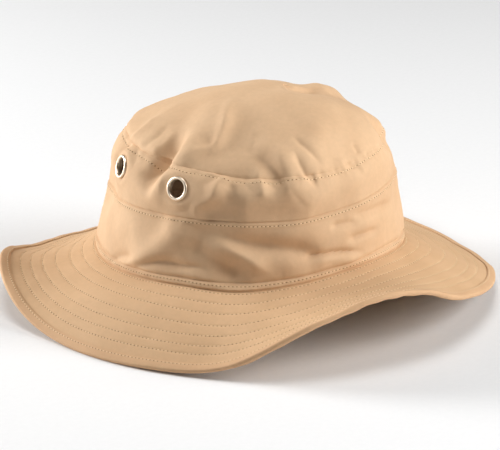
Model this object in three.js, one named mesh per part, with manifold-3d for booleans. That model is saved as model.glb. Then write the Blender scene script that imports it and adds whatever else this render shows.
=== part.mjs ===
// A soft cloth ranger hat with a wide stitched brim, standing on the brim's own edge.
// Millimetres, +Z up. The front of the hat points along -Y and the wearer's left along +X.
//
// The whole hat is one skin, read by two numbers: an angle round it (0 at the front, 90 on the
// wearer's left) and a level up it. Seams lie on whole levels: -1 is the brim's edge, 0 the seam of
// brim and crown, 1 the seam between the two side bands, 2 the seam of the round top, 3 its middle.
// Each panel is a stretch of that skin given a wall, and mitred to its neighbour at the seam.

import * as THREE from 'three';
import { mergeVertices } from 'three/addons/utils/BufferGeometryUtils.js';
import Module from 'manifold-3d';

// ---------------------------------------------------------------- driving dimensions

const COLUMNS = 66;            // facets round the hat
const BRIM_WIDTH = 60.5;       // along the cloth, from seam to edge
const CROWN_WALL = 1.4;        // cloth and its turned seams
const BRIM_WALL = 1.7;         // two cloths stitched together
const SEAM_GAP = 0.36;         // between the end faces of two panels
const CLEARANCE = 0.3;         // between a panel and what is fixed over it
const FLOOR_BELOW_EDGE = 1.9;  // how far the floor lies below the height 0 of the tables
const STEP = 0.03;             // step in level for slopes of the skin
const ANGLE_STEP = 180 / COLUMNS;   // the same in degrees, half a facet

// The seams as ovals: half width and half length, and where each centre lies.
const SEAMS = [
  { halfWidth: 91.7, halfLength: 96.3, x: -1.0, y: 0.5 },
  { halfWidth: 84.5, halfLength: 88.5, x: 1.0, y: -1.8 },
  { halfWidth: 73.0, halfLength: 82.5, x: 1.3, y: -3.0 },
];

// Heights round the hat: the brim's edge, the three seams, how steeply the brim leaves its seam (degrees
// below level), and how far each side band bulges past a straight wall. The upper band is fullest at a
// share of its height, a little above its middle.
const SECTIONS = [
  { angle: -180, edge: 0.0, slope: 47, seam0: 30.5, seam1: 65.5, seam2: 96.0, low: 0.5, high: 3.0 },
  { angle: -150, edge: 5.5, slope: 44, seam0: 30.0, seam1: 65.5, seam2: 97.5, low: 0.5, high: 3.0 },
  { angle: -120, edge: 23.5, slope: 28, seam0: 29.5, seam1: 66.5, seam2: 99.0, low: 0.5, high: 4.5 },
  { angle: -90, edge: 1.0, slope: 13, seam0: 30.0, seam1: 68.5, seam2: 98.0, low: 1.0, high: 4.5 },
  { angle: -60, edge: 0.0, slope: 23, seam0: 32.0, seam1: 70.5, seam2: 97.0, low: 1.0, high: 5.0 },
  { angle: -40, edge: 6.0, slope: 27, seam0: 31.0, seam1: 70.5, seam2: 95.0, low: 0.5, high: 6.0 },
  { angle: -20, edge: 32.5, slope: 18.5, seam0: 33.5, seam1: 70.5, seam2: 95.0, low: 0.5, high: 4.5 },
  { angle: 0, edge: 42.5, slope: 8.5, seam0: 36.5, seam1: 72.5, seam2: 95.5, low: 1.0, high: 3.5 },
  { angle: 20, edge: 24.0, slope: 3.5, seam0: 37.0, seam1: 75.0, seam2: 97.5, low: 1.0, high: 2.5 },
  { angle: 40, edge: 12.0, slope: 14, seam0: 34.0, seam1: 75.5, seam2: 97.5, low: 0.5, high: 2.0 },
  { angle: 65, edge: 2.5, slope: 23, seam0: 27.0, seam1: 74.0, seam2: 97.5, low: -0.5, high: 1.5 },
  { angle: 90, edge: 0.0, slope: 28, seam0: 25.5, seam1: 71.0, seam2: 97.0, low: 0.5, high: 2.5 },
  { angle: 120, edge: 5.5, slope: 34, seam0: 27.0, seam1: 68.0, seam2: 96.5, low: 0.5, high: 3.0 },
  { angle: 150, edge: 10.0, slope: 41, seam0: 29.0, seam1: 66.5, seam2: 95.5, low: 0.5, high: 3.0 },
];

const UPPER_FULLEST = 0.6;

// The round top: a soft dome that leans a little to the wearer's front left.
const DOME = {
  x: -2.1, y: -1.3, height: 126.8,
  roundness: 1.56, roundnessLean: -0.22, leanAngle: 84,   // 2 is an ellipse, less is more pointed
  riseLeft: 10.3, riseFront: 7.6, riseSpan: 80,           // rise for each span's distance
};

// Main folds and dents: positive stands out, negative goes in. A path is a list of [angle, level].
const FOLDS = [
  // lower band, wearer's right and front
  { depth: -5.5, width: 8, path: [[-94, 0.22], [-80, 0.28], [-66, 0.28], [-54, 0.26], [-44, 0.2], [-34, 0.08]] },
  { depth: 2.4, width: 5, path: [[-56, 0.92], [-48, 0.73], [-40, 0.55], [-33, 0.38], [-24, 0.1]] },
  { depth: -4.0, width: 5.5, path: [[-62, 0.86], [-50, 0.77], [-36, 0.68], [-24, 0.6], [-13, 0.45], [-3, 0.28]] },
  // upper band and round top, wearer's right
  { depth: -4.5, width: 7, path: [[-84, 2.43], [-84, 2.27], [-85, 2.09], [-86, 1.78], [-87, 1.51], [-87, 1.27]] },
  { depth: 2.6, width: 6.5, path: [[-80, 2.4], [-76, 2.27], [-79, 2.02], [-79, 1.68], [-81, 1.38], [-86, 1.05]] },
  { depth: -3.0, width: 5.5, path: [[-108, 2.03], [-110, 1.7], [-114, 1.44]] },
  { depth: 2.4, width: 5, path: [[-62, 2.76], [-55, 2.6], [-55, 2.47], [-57, 2.37], [-65, 2.27], [-73, 2.15]] },
  // upper band and round top, front
  { depth: 1.7, width: 5, path: [[-51, 2.09], [-51, 1.79], [-52, 1.51], [-57, 1.29], [-62, 1.15]] },
  { depth: -2.5, width: 8, path: [[-58, 1.02], [-52, 1.12], [-44, 1.22], [-38, 1.2]] },
  { depth: -1.5, width: 5.5, path: [[-39, 2.34], [-33, 2.25], [-29, 2.16], [-26, 1.97], [-24, 1.7]] },
  { depth: 2.0, width: 5, path: [[-22, 2.36], [-23, 2.2], [-22, 1.97], [-18, 1.55]] },
  { depth: -1.5, width: 5, path: [[-14, 2.42], [-11, 2.3], [-9, 2.14], [-7, 1.95], [-5, 1.75]] },
  // wearer's left and back
  { depth: 4.0, width: 8, path: [[75, 2.56], [86, 2.42], [96, 2.24]] },
  { depth: -3.0, width: 9, path: [[55, 2.74], [68, 2.62], [80, 2.6]] },
  { depth: -3.5, width: 7, path: [[58, 2.3], [55, 2.1], [52, 1.85], [54, 1.5]] },
  { depth: -4.0, width: 8, path: [[96, 2.3], [94, 2.1], [93, 1.85], [95, 1.4]] },
  { depth: 2.5, width: 6, path: [[132, 2.35], [134, 2.1], [131, 1.7], [127, 1.3]] },
  { depth: -4.0, width: 8, path: [[150, 2.4], [146, 2.15], [145, 1.85], [148, 1.4]] },
  { depth: -3.5, width: 8, path: [[-168, 2.45], [-165, 2.2], [-166, 1.85], [-163, 1.4]] },
  { depth: 1.0, width: 7, path: [[-142, 2.35], [-146, 2.1], [-145, 1.7], [-140, 1.3]] },
  { depth: -5.0, width: 12, path: [[60, 0.8], [78, 0.6], [96, 0.35], [112, 0.22]] },
  { depth: -5.0, width: 12, path: [[-178, 0.75], [-160, 0.6], [-142, 0.35], [-128, 0.2]] },
  { depth: -3.0, width: 8, path: [[128, 0.7], [144, 0.6], [160, 0.38]] },
];
const FOLD_SAMPLES = 14;
const FOLD_END_SHARE = 0.3;    // share of a fold's length over which each end dies away

// The raised strip at the foot of the lower band, whose height is about that of the band here.
const STRIP = { height: 3.4, proud: 0.7, step: 0.5 };
const LOWER_BAND_HEIGHT = 38;

// Vent eyelets, in pairs on both sides of the upper band.
const EYELETS = [
  { name: 'eyelet_right_back', angle: -103.5, level: 1.56 },
  { name: 'eyelet_right_front', angle: -67.5, level: 1.56 },
  { name: 'eyelet_left_front', angle: 76.5, level: 1.56 },
  { name: 'eyelet_left_back', angle: 112.5, level: 1.56 },
];
const EYELET = { holeRadius: 4.9, barrelRadius: 5.6, rimRadius: 7.2, sides: 16 };
const EYELET_FLAT = { inner: 8.5, outer: 14, sink: 0.4 };   // flattened cloth round each eyelet

// The tape folded round the brim's edge.
const BINDING = { width: 6.0, wall: 1.0, nose: 1.3 };

// ---------------------------------------------------------------- curves of the hat

const radians = (degrees) => degrees * Math.PI / 180;
const wrapped = (angle) => ((angle + 180) % 360 + 360) % 360 - 180;
const smooth = (share) => {
  const s = Math.min(1, Math.max(0, share));
  return s * s * (3 - 2 * s);
};

// A column of the sections table at any angle, as a smooth closed curve through its rows.
function around(column, angle) {
  const count = SECTIONS.length;
  const row = (index) => {
    const turn = Math.floor(index / count);
    const section = SECTIONS[index - turn * count];
    return { at: section.angle + 360 * turn, value: section[column] };
  };
  const target = wrapped(angle);
  let index = 0;
  while (row(index + 1).at <= target) index += 1;
  const [before, low, high, after] = [row(index - 1), row(index), row(index + 1), row(index + 2)];
  const span = high.at - low.at;
  const slopeLow = (high.value - before.value) / (high.at - before.at);
  const slopeHigh = (after.value - low.value) / (after.at - low.at);
  const s = (target - low.at) / span;
  return (2 * s ** 3 - 3 * s ** 2 + 1) * low.value
    + (s ** 3 - 2 * s ** 2 + s) * span * slopeLow
    + (3 * s ** 2 - 2 * s ** 3) * high.value
    + (s ** 3 - s ** 2) * span * slopeHigh;
}

function seamPoint(level, angle) {
  const seam = SEAMS[level];
  const t = radians(angle);
  return new THREE.Vector3(
    seam.x + seam.halfWidth * Math.sin(t),
    seam.y - seam.halfLength * Math.cos(t),
    around(`seam${level}`, angle),
  );
}

// The level direction square to a seam's oval, pointing away from the head.
function awayFromHead(level, angle) {
  const seam = SEAMS[level];
  const t = radians(angle);
  return new THREE.Vector3(seam.halfLength * Math.sin(t), -seam.halfWidth * Math.cos(t), 0).normalize();
}

// The turn of an arc that starts at a slope and drops a share of its own length.
function arcTurn(startSlope, dropShare) {
  const drop = (turn) => (Math.cos(startSlope) - Math.cos(startSlope + turn)) / turn;
  let low = -2.0;
  let high = 2.0;
  for (let step = 0; step < 50; step += 1) {
    const middle = (low + high) / 2 + 1e-9;
    if (drop(middle) < dropShare) low = middle;
    else high = middle;
  }
  return (low + high) / 2 + 1e-6;
}

// The brim: in each direction an arc of the brim's width, from its seam down to its edge.
function brimPoint(angle, share) {
  const seam = seamPoint(0, angle);
  const start = radians(around('slope', angle));
  const turn = arcTurn(start, (seam.z - around('edge', angle)) / BRIM_WIDTH);
  const slope = start + turn * share;
  const out = BRIM_WIDTH * (Math.sin(slope) - Math.sin(start)) / turn;
  const down = BRIM_WIDTH * (Math.cos(start) - Math.cos(slope)) / turn;
  return seam.addScaledVector(awayFromHead(0, angle), out).setZ(seam.z - down);
}

// A side band: a wall from seam to seam, bulging in the middle.
function bandPoint(level, angle, share) {
  const foot = seamPoint(level, angle);
  const rise = seamPoint(level + 1, angle).sub(foot);
  const along = rise.clone().normalize();
  const skew = level === 0 ? 1 : Math.log(0.5) / Math.log(UPPER_FULLEST);
  const bulge = around(level === 0 ? 'low' : 'high', angle) * Math.sin(Math.PI * share ** skew);
  const out = awayFromHead(level, angle);
  out.addScaledVector(along, -out.dot(along)).normalize();
  return foot.addScaledVector(rise, share).addScaledVector(out, bulge);
}

// The round top: a dome from its seam to its middle.
function topPoint(angle, share) {
  const seam = seamPoint(2, angle);
  const roundness = DOME.roundness + DOME.roundnessLean * Math.cos(radians(angle - DOME.leanAngle));
  const turn = (1 - share) * Math.PI / 2;
  const reach = Math.sin(turn) ** (2 / roundness);
  const lift = Math.cos(turn) ** (2 / roundness);
  const x = DOME.x + (seam.x - DOME.x) * reach;
  const y = DOME.y + (seam.y - DOME.y) * reach;
  const crest = DOME.height + (DOME.riseLeft * x - DOME.riseFront * y) / DOME.riseSpan;
  return new THREE.Vector3(x, y, seam.z * (1 - lift) + crest * lift);
}

function smoothSkin(angle, level) {
  if (level < 0) return brimPoint(angle, -level);
  if (level < 1) return bandPoint(0, angle, level);
  if (level < 2) return bandPoint(1, angle, level - 1);
  return topPoint(angle, Math.min(1, level - 2));
}

// The outward direction of a skin, and the way up it, square to a seam. Across a seam the outward
// direction lies between those of the two panels.
function directionsOf(skin, angle, level) {
  const top = Math.min(level, 3 - 2 * STEP);
  const across = skin(angle + ANGLE_STEP, top).sub(skin(angle - ANGLE_STEP, top));
  const rise = skin(angle, top + STEP).sub(skin(angle, top - STEP));
  const normal = across.clone().cross(rise).normalize();
  const up = normal.clone().cross(across).normalize();
  return { normal, up };
}

const normalOf = (skin, angle, level) => directionsOf(skin, angle, level).normal;

const foldLines = FOLDS.map((fold) => {
  const corners = fold.path.map(([angle, level]) => smoothSkin(angle, level));
  return { ...fold, points: new THREE.CatmullRomCurve3(corners).getPoints(FOLD_SAMPLES) };
});

// How far a fold moves a point of the smooth skin.
function foldShift(fold, point) {
  const segment = new THREE.Line3();
  const nearest = new THREE.Vector3();
  let distance = Infinity;
  let along = 0;
  for (let index = 0; index < FOLD_SAMPLES; index += 1) {
    segment.set(fold.points[index], fold.points[index + 1]);
    const share = segment.closestPointToPointParameter(point, true);
    const gap = segment.at(share, nearest).distanceTo(point);
    if (gap < distance) {
      distance = gap;
      along = (index + share) / FOLD_SAMPLES;
    }
  }
  const ends = smooth(Math.min(along, 1 - along) / FOLD_END_SHARE);
  return fold.depth * ends * Math.exp(-((distance / fold.width) ** 2));
}

function foldedSkin(angle, level) {
  const point = smoothSkin(angle, level);
  if (level < 0) return point;
  const shift = foldLines.reduce((sum, fold) => sum + foldShift(fold, point), 0);
  const share = level < 0.1 ? smooth(level / 0.1) : 1;
  return point.addScaledVector(normalOf(smoothSkin, angle, level), shift * share);
}

const eyeletFrames = EYELETS.map(({ name, angle, level }) => {
  const normal = normalOf(smoothSkin, angle, level);
  const centre = smoothSkin(angle, level).addScaledVector(normal, -EYELET_FLAT.sink);
  return { name, centre, normal };
});

// The finished outside of the cloth: folded, and pressed flat round each eyelet.
function skin(angle, level) {
  const point = foldedSkin(angle, level);
  if (level < 1 || level > 2.2) return point;
  for (const { centre, normal } of eyeletFrames) {
    const offset = point.clone().sub(centre);
    const height = offset.dot(normal);
    const radius = offset.addScaledVector(normal, -height).length();
    const pressed = 1 - smooth((radius - EYELET_FLAT.inner) / (EYELET_FLAT.outer - EYELET_FLAT.inner));
    point.addScaledVector(normal, -height * pressed);
  }
  return point;
}

// ---------------------------------------------------------------- building solids

const angles = Array.from({ length: COLUMNS }, (_, column) => 360 * column / COLUMNS - 180);

// One closed body from rings of points: ring follows ring with the face outwards, and the last joins
// the first, or both ends run to a point of their own. A twisted face that lies along another piece's
// is split along the same diagonal as that one: turned lists the rings whose faces need that.
function solidFromRings(rings, { ends = [], turned = [] } = {}) {
  const positions = rings.flat().concat(ends).flatMap((point) => [point.x, point.y, point.z]);
  const faces = [];
  const at = (ring, column) => ring * COLUMNS + (column % COLUMNS);
  const last = rings.length - 1;
  for (let column = 0; column < COLUMNS; column += 1) {
    for (let ring = 0; ring < (ends.length ? last : rings.length); ring += 1) {
      const next = ring === last ? 0 : ring + 1;
      const corners = [at(ring, column), at(ring, column + 1), at(next, column + 1), at(next, column)];
      if (turned.includes(ring)) corners.push(corners.shift());
      const [a, b, c, d] = corners;
      faces.push(a, b, c, a, c, d);
    }
    if (ends.length) {
      const first = rings.length * COLUMNS;
      faces.push(first, at(0, column + 1), at(0, column));
      faces.push(first + 1, at(last, column), at(last, column + 1));
    }
  }
  const geometry = new THREE.BufferGeometry();
  geometry.setAttribute('position', new THREE.Float32BufferAttribute(positions, 3));
  geometry.setIndex(faces);
  return geometry;
}

// The outside and inside points of a panel at one level. At a seam both move off it by half a gap,
// upwards for 1 and downwards for -1.
function wallRings(level, wall, offSeam, proud = 0) {
  const outside = [];
  const inside = [];
  for (const angle of angles) {
    const { normal, up } = directionsOf(skin, angle, level);
    const point = skin(angle, level).addScaledVector(up, offSeam * SEAM_GAP / 2);
    outside.push(point.clone().addScaledVector(normal, proud));
    inside.push(point.clone().addScaledVector(normal, -wall));
  }
  return { outside, inside };
}

// A panel that is open at both ends, such as a side band or the brim.
function panelSolid(levels, wall, proudAt = () => 0) {
  const last = levels.length - 1;
  const walls = levels.map((level, index) => {
    const offSeam = index === 0 ? 1 : index === last ? -1 : 0;
    return wallRings(level, wall, offSeam, proudAt(index));
  });
  const outside = walls.map((ring) => ring.outside);
  const inside = walls.map((ring) => ring.inside).reverse();
  return solidFromRings([...outside, ...inside], { turned: [2 * levels.length - 1] });
}

function spread(from, to, count) {
  return Array.from({ length: count + 1 }, (_, index) => from + (to - from) * index / count);
}

// ---------------------------------------------------------------- the pieces

function crownTip() {
  const shares = [0, 0.11, 0.23, 0.36, 0.51, 0.68, 0.86];
  const walls = shares.map((share, index) => wallRings(2 + share, CROWN_WALL, index === 0 ? 1 : 0));
  const outside = walls.map((ring) => ring.outside);
  const inside = walls.map((ring) => ring.inside).reverse();
  const middle = smoothSkin(0, 3);
  const under = middle.clone().setZ(middle.z - CROWN_WALL);
  return solidFromRings([...inside, ...outside], { ends: [under, middle], turned: [shares.length - 1] });
}

function upperSideBand() {
  return panelSolid(spread(1, 2, 7), CROWN_WALL);
}

// The strip stands proud at the foot, over the first two rows of the band.
function lowerSideBand() {
  const stripTop = STRIP.height / LOWER_BAND_HEIGHT;
  const stripEnd = (STRIP.height + STRIP.step) / LOWER_BAND_HEIGHT;
  const levels = [0, stripTop, ...spread(stripEnd, 1, 5)];
  return panelSolid(levels, CROWN_WALL, (index) => (index < 2 ? STRIP.proud : 0));
}

function brim() {
  const edgeLevel = -(1 - BINDING.nose / BRIM_WIDTH);
  const bindingLevel = -(1 - BINDING.width / BRIM_WIDTH);
  return panelSolid([edgeLevel, ...spread(bindingLevel, 0, 6)], BRIM_WALL);
}

// The binding's section: distance in from the edge, and height over the brim's upper face.
function brimBinding() {
  const over = CLEARANCE + BINDING.wall;
  const under = -BRIM_WALL - CLEARANCE - BINDING.wall;
  const middle = -BRIM_WALL / 2;
  const inward = BINDING.nose - CLEARANCE;
  const section = [
    { inFromEdge: BINDING.width, height: over },
    { inFromEdge: BINDING.width, height: CLEARANCE },
    { inFromEdge: inward, height: CLEARANCE },
    { inFromEdge: inward, height: -BRIM_WALL - CLEARANCE },
    { inFromEdge: BINDING.width, height: -BRIM_WALL - CLEARANCE },
    { inFromEdge: BINDING.width, height: under },
    { inFromEdge: 2.0, height: under },
    { inFromEdge: 0.6, height: under + 0.4 },
    { inFromEdge: 0, height: middle - 0.9 },
    { inFromEdge: 0, height: middle + 0.9 },
    { inFromEdge: 0.7, height: over },
  ];
  const rings = section.map(({ inFromEdge, height }) => angles.map((angle) => {
    const level = -(1 - inFromEdge / BRIM_WIDTH);
    const point = skin(angle, level).addScaledVector(normalOf(skin, angle, level), height);
    return point.setZ(Math.max(point.z, -FLOOR_BELOW_EDGE));
  }));
  return solidFromRings(rings, { turned: [1, 3] });
}

// A rolled metal ring gripping the cloth: rim outside, barrel through the hole, washer inside.
function eyeletSolid() {
  const { holeRadius, barrelRadius, rimRadius, sides } = EYELET;
  const back = -CROWN_WALL - CLEARANCE;
  const profile = [
    [holeRadius, back - 0.3],
    [holeRadius + 0.4, back - 0.8],
    [rimRadius, back - 0.6],
    [rimRadius, back],
    [barrelRadius, back],
    [barrelRadius, CLEARANCE],
    [rimRadius, CLEARANCE],
    [rimRadius, 0.9],
    [rimRadius - 0.8, 1.5],
    [holeRadius + 0.6, 1.5],
    [holeRadius, 0.9],
  ];
  const points = [...profile, profile[0]].map(([radius, height]) => new THREE.Vector2(radius, height));
  return new THREE.LatheGeometry(points, sides).rotateX(Math.PI / 2);
}

// What is cut from the cloth for an eyelet: the hole, and room for its rim and washer.
function eyeletCut() {
  const { barrelRadius, rimRadius, sides } = EYELET;
  const hole = barrelRadius + CLEARANCE;
  const room = rimRadius + CLEARANCE;
  const reach = 6;
  const top = CLEARANCE / 2;
  const bottom = -CROWN_WALL - top;
  const profile = [
    [0, bottom - reach],
    [room, bottom - reach],
    [room, bottom],
    [hole, bottom],
    [hole, top],
    [room, top],
    [room, top + reach],
    [0, top + reach],
  ];
  const points = profile.map(([radius, height]) => new THREE.Vector2(radius, height));
  return new THREE.LatheGeometry(points, sides).rotateX(Math.PI / 2);
}

function placedAt({ centre, normal }, object) {
  object.position.copy(centre);
  object.quaternion.setFromUnitVectors(new THREE.Vector3(0, 0, 1), normal);
  return object;
}

// ---------------------------------------------------------------- joining and cutting

const wasm = await Module();
wasm.setup();

function toManifold(geometry) {
  const bare = geometry.clone();
  bare.deleteAttribute('normal');
  bare.deleteAttribute('uv');
  const merged = mergeVertices(bare, 1e-4);
  return new wasm.Manifold(new wasm.Mesh({
    numProp: 3,
    vertProperties: new Float32Array(merged.attributes.position.array),
    triVerts: new Uint32Array(merged.index.array),
  }));
}

function fromManifold(solid) {
  const mesh = solid.getMesh();
  const geometry = new THREE.BufferGeometry();
  geometry.setAttribute('position', new THREE.BufferAttribute(mesh.vertProperties, 3));
  geometry.setIndex(new THREE.BufferAttribute(mesh.triVerts, 1));
  return geometry;
}

function withEyeletHoles(band) {
  const solid = eyeletFrames.reduce((cloth, frame) => {
    const cutter = placedAt(frame, new THREE.Object3D());
    cutter.updateMatrixWorld();
    return cloth.subtract(toManifold(eyeletCut().applyMatrix4(cutter.matrixWorld)));
  }, toManifold(band));
  return fromManifold(solid);
}

// ---------------------------------------------------------------- the hat

const CLOTH = { color: 0xdcb68c, roughness: 0.85, metalness: 0 };
const BRIM_CLOTH = { color: 0xd3ab82, roughness: 0.85, metalness: 0 };
const TAPE = { color: 0xcaa077, roughness: 0.8, metalness: 0 };
const METAL = { color: 0xe2dccb, roughness: 0.3, metalness: 1 };

function piece(name, geometry, finish) {
  geometry.computeVertexNormals();
  const mesh = new THREE.Mesh(geometry, new THREE.MeshStandardMaterial(finish));
  mesh.name = name;
  return mesh;
}

const hat = new THREE.Group();
hat.add(piece('crown_tip', crownTip(), CLOTH));
hat.add(piece('upper_side_band', withEyeletHoles(upperSideBand()), CLOTH));
hat.add(piece('lower_side_band', lowerSideBand(), CLOTH));
hat.add(piece('brim', brim(), BRIM_CLOTH));
hat.add(piece('brim_binding', brimBinding(), TAPE));
for (const frame of eyeletFrames) {
  hat.add(placedAt(frame, piece(frame.name, eyeletSolid(), METAL)));
}

// The origin is on the floor, under the middle of the hat.
const extent = new THREE.Box3().setFromObject(hat, true);
const middle = extent.getCenter(new THREE.Vector3());
hat.position.set(-middle.x, -middle.y, FLOOR_BELOW_EDGE);

export default hat;
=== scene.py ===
# A soft cloth ranger hat with a wide stitched brim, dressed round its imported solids.
# The front of the hat points along -Y and the wearer's left along +X, with +Z up.
#
# The tables are in millimetres. Seams and sections hold the same sizes as the solids, and the folds are
# finer. The whole hat is one skin, read by an angle round it (0 at the front, 90 on the wearer's left) and
# a level up it. Seams lie on whole levels: -1 is the brim's edge, 0 the seam of brim and crown, 1 the seam
# between the side bands, 2 the seam of the round top and 3 its middle. Meshes are turned to metres as they
# are made.
import math

import bpy
import numpy as np
from mathutils import Matrix, Vector


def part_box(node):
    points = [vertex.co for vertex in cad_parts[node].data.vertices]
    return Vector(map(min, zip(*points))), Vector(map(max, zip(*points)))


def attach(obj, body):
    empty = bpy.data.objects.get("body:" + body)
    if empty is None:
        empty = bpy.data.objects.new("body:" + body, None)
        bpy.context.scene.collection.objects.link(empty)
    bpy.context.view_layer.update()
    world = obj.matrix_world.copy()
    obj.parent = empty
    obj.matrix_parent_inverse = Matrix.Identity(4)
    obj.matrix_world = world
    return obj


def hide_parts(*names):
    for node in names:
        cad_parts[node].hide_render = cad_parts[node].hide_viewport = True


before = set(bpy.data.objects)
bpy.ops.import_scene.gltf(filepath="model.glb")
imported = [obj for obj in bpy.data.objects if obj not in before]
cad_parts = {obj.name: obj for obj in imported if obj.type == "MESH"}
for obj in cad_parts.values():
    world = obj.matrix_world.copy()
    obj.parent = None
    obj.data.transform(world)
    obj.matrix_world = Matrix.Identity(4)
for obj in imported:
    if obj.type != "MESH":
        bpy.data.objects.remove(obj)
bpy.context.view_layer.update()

MM = 0.001

# ---- driving sizes, millimetres

BRIM_WIDTH = 60.5
CROWN_WALL = 1.4
BRIM_WALL = 1.7
FLOOR_BELOW_EDGE = 1.9         # how far the floor lies below height 0 of the tables
CROWN_COLUMNS = 720
BRIM_COLUMNS = 640
LEVEL_STEP = 0.03              # steps over which the skin's slope is measured
ANGLE_STEP = 1.0
WIDEST_TURN = 2.0              # radians through which the brim may curl
HALVINGS = 40
ROUND_POINTS = 15              # points on a half round

# The seams as ovals: half width, half length, and where each centre lies.
SEAMS = [
    (91.7, 96.3, -1.0, 0.5),
    (84.5, 88.5, 1.0, -1.8),
    (73.0, 82.5, 1.3, -3.0),
]

# Heights round the hat: the brim's edge, how steeply the brim leaves its seam (degrees below level), the
# three seams, and how far each side band bulges. The upper band is fullest at a share of its height.
SECTION_COLUMNS = ("angle", "edge", "slope", "seam0", "seam1", "seam2", "low", "high")
SECTIONS = np.array([
    (-180, 0.0, 47.0, 30.5, 65.5, 96.0, 0.5, 3.0),
    (-150, 5.5, 44.0, 30.0, 65.5, 97.5, 0.5, 3.0),
    (-120, 23.5, 28.0, 29.5, 66.5, 99.0, 0.5, 4.5),
    (-90, 1.0, 13.0, 30.0, 68.5, 98.0, 1.0, 4.5),
    (-60, 0.0, 23.0, 32.0, 70.5, 97.0, 1.0, 5.0),
    (-40, 6.0, 27.0, 31.0, 70.5, 95.0, 0.5, 6.0),
    (-20, 32.5, 18.5, 33.5, 70.5, 95.0, 0.5, 4.5),
    (0, 42.5, 8.5, 36.5, 72.5, 95.5, 1.0, 3.5),
    (20, 24.0, 3.5, 37.0, 75.0, 97.5, 1.0, 2.5),
    (40, 12.0, 14.0, 34.0, 75.5, 97.5, 0.5, 2.0),
    (65, 2.5, 23.0, 27.0, 74.0, 97.5, -0.5, 1.5),
    (90, 0.0, 28.0, 25.5, 71.0, 97.0, 0.5, 2.5),
    (120, 5.5, 34.0, 27.0, 68.0, 96.5, 0.5, 3.0),
    (150, 10.0, 41.0, 29.0, 66.5, 95.5, 0.5, 3.0),
])

UPPER_FULLEST = 0.6

# The round top: a soft dome that leans a little to the wearer's front left.
DOME = {
    "x": -2.1, "y": -1.3, "height": 126.8,
    "roundness": 1.56, "lean": -0.22, "lean_angle": 84,
    "rise_left": 10.3, "rise_front": 7.6, "rise_span": 80,
}

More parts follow.
